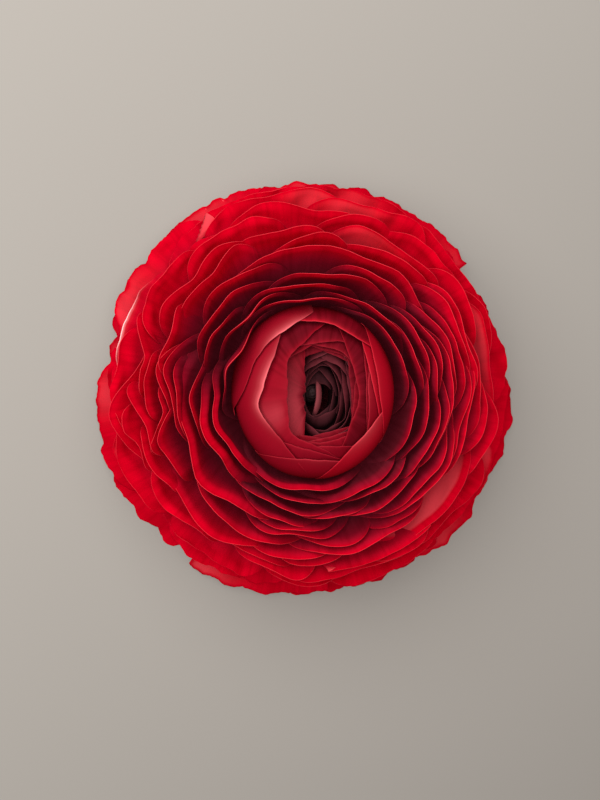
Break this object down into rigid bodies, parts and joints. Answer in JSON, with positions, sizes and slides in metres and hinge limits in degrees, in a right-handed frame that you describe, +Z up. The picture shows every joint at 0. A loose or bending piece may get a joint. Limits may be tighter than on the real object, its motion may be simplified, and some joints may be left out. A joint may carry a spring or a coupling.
{
  "type": "persian buttercup flower",
  "caption": "Double Persian buttercup bloom with cupped ruffled petals in nested rings around a closed bud, cut under its calyx and resting face up.",
  "frame": {"origin": "centre of the flower's bounding box in plan, on the surface that the flower rests on", "axes": "+Z up out of the open face of the flower; +X and +Y across the face"},
  "size_m": [0.0806, 0.0792, 0.0378],
  "materials": {
    "open_petals": "satin, deep scarlet petal tissue",
    "bud_petals": "matt, dusky dark red petal tissue",
    "heart_petals": "matt, purple-brown petal tissue",
    "sepals": "matt, downy green leaf tissue",
    "stem": "satin, juicy green stem",
    "carpels": "matt, near-black carpels"
  },
  "bodies": {
    "root": {"stem_and_receptacle": "stem", "carpel_head": "carpels", "sepal_01": "sepals", "sepal_02": "sepals", "sepal_03": "sepals", "sepal_04": "sepals", "sepal_05": "sepals", "guard_petal_01": "open_petals", "guard_petal_02": "open_petals", "guard_petal_03": "open_petals", "guard_petal_04": "open_petals", "guard_petal_05": "open_petals", "guard_petal_06": "open_petals", "guard_petal_07": "open_petals", "guard_petal_08": "open_petals", "guard_petal_09": "open_petals", "guard_petal_10": "open_petals", "guard_petal_11": "open_petals", "spreading_petal_01": "open_petals", "spreading_petal_02": "open_petals", "spreading_petal_03": "open_petals", "spreading_petal_04": "open_petals", "spreading_petal_05": "open_petals", "spreading_petal_06": "open_petals", "spreading_petal_07": "open_petals", "spreading_petal_08": "open_petals", "spreading_petal_09": "open_petals", "spreading_petal_10": "open_petals", "spreading_petal_11": "open_petals", "cupped_petal_01": "open_petals", "cupped_petal_02": "open_petals", "cupped_petal_03": "open_petals", "cupped_petal_04": "open_petals", "cupped_petal_05": "open_petals", "cupped_petal_06": "open_petals", "cupped_petal_07": "open_petals", "cupped_petal_08": "open_petals", "cupped_petal_09": "open_petals", "cupped_petal_10": "open_petals", "cupped_petal_11": "open_petals", "collar_petal_01": "open_petals", "collar_petal_02": "open_petals", "collar_petal_03": "open_petals", "collar_petal_04": "open_petals", "collar_petal_05": "open_petals", "collar_petal_06": "open_petals", "bud_petal_01": "bud_petals", "bud_petal_02": "bud_petals", "bud_petal_03": "bud_petals", "bud_petal_04": "bud_petals", "bud_petal_05": "bud_petals", "bud_petal_06": "bud_petals", "bud_petal_07": "bud_petals", "bud_petal_08": "bud_petals", "bud_petal_09": "bud_petals", "bud_petal_10": "bud_petals", "bud_petal_11": "bud_petals", "bud_petal_12": "bud_petals", "bud_petal_13": "heart_petals", "bud_petal_14": "heart_petals"}
  },
  "joints": []
}
